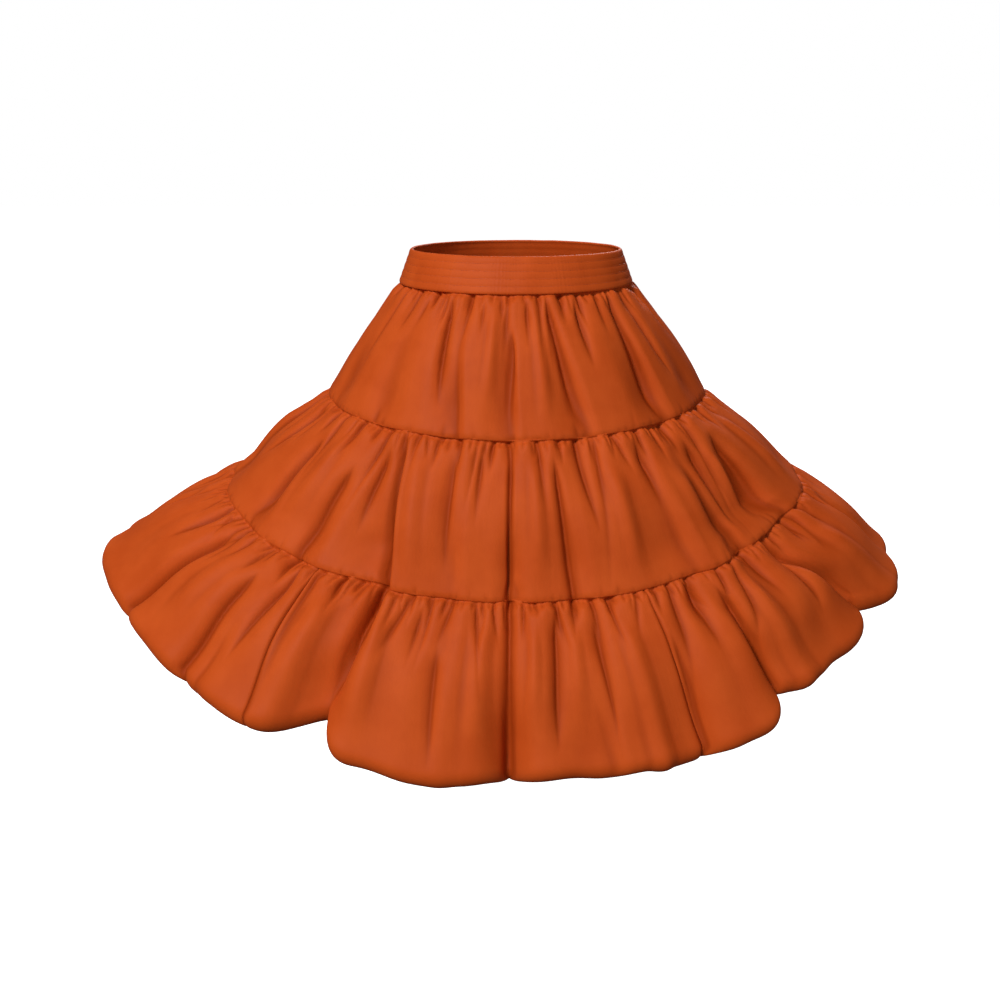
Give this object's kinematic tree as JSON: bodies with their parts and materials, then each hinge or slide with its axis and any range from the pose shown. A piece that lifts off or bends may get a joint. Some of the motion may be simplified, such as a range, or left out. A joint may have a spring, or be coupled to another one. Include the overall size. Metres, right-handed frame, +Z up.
{
  "type": "tiered ruffle skirt",
  "caption": "Worn-form tiered skirt: a smooth elastic waistband and gathered tiers that flare to a softly rolled, scalloped ruffle hem, hollow and open at waist and hem.",
  "frame": {"origin": "centre of the waistband's top edge, where the wearer's waist holds the skirt", "axes": "+X towards the wearer's left side (the right of the front view), +Y towards the back, +Z up out of the waist"},
  "size_m": [1.0622, 0.7592, 0.5293],
  "materials": {
    "sateen": "burnt-orange cotton sateen, soft low sheen",
    "elastic_waistband": "burnt-orange sateen stretched smooth over wide elastic, rows of topstitching"
  },
  "bodies": {
    "root": {"waistband": "elastic_waistband", "tier_1_front": "sateen", "tier_1_back": "sateen", "tier_2_front": "sateen", "tier_2_back": "sateen", "tier_3_front": "sateen", "tier_3_right": "sateen", "tier_3_back": "sateen", "tier_3_left": "sateen"}
  },
  "joints": []
}
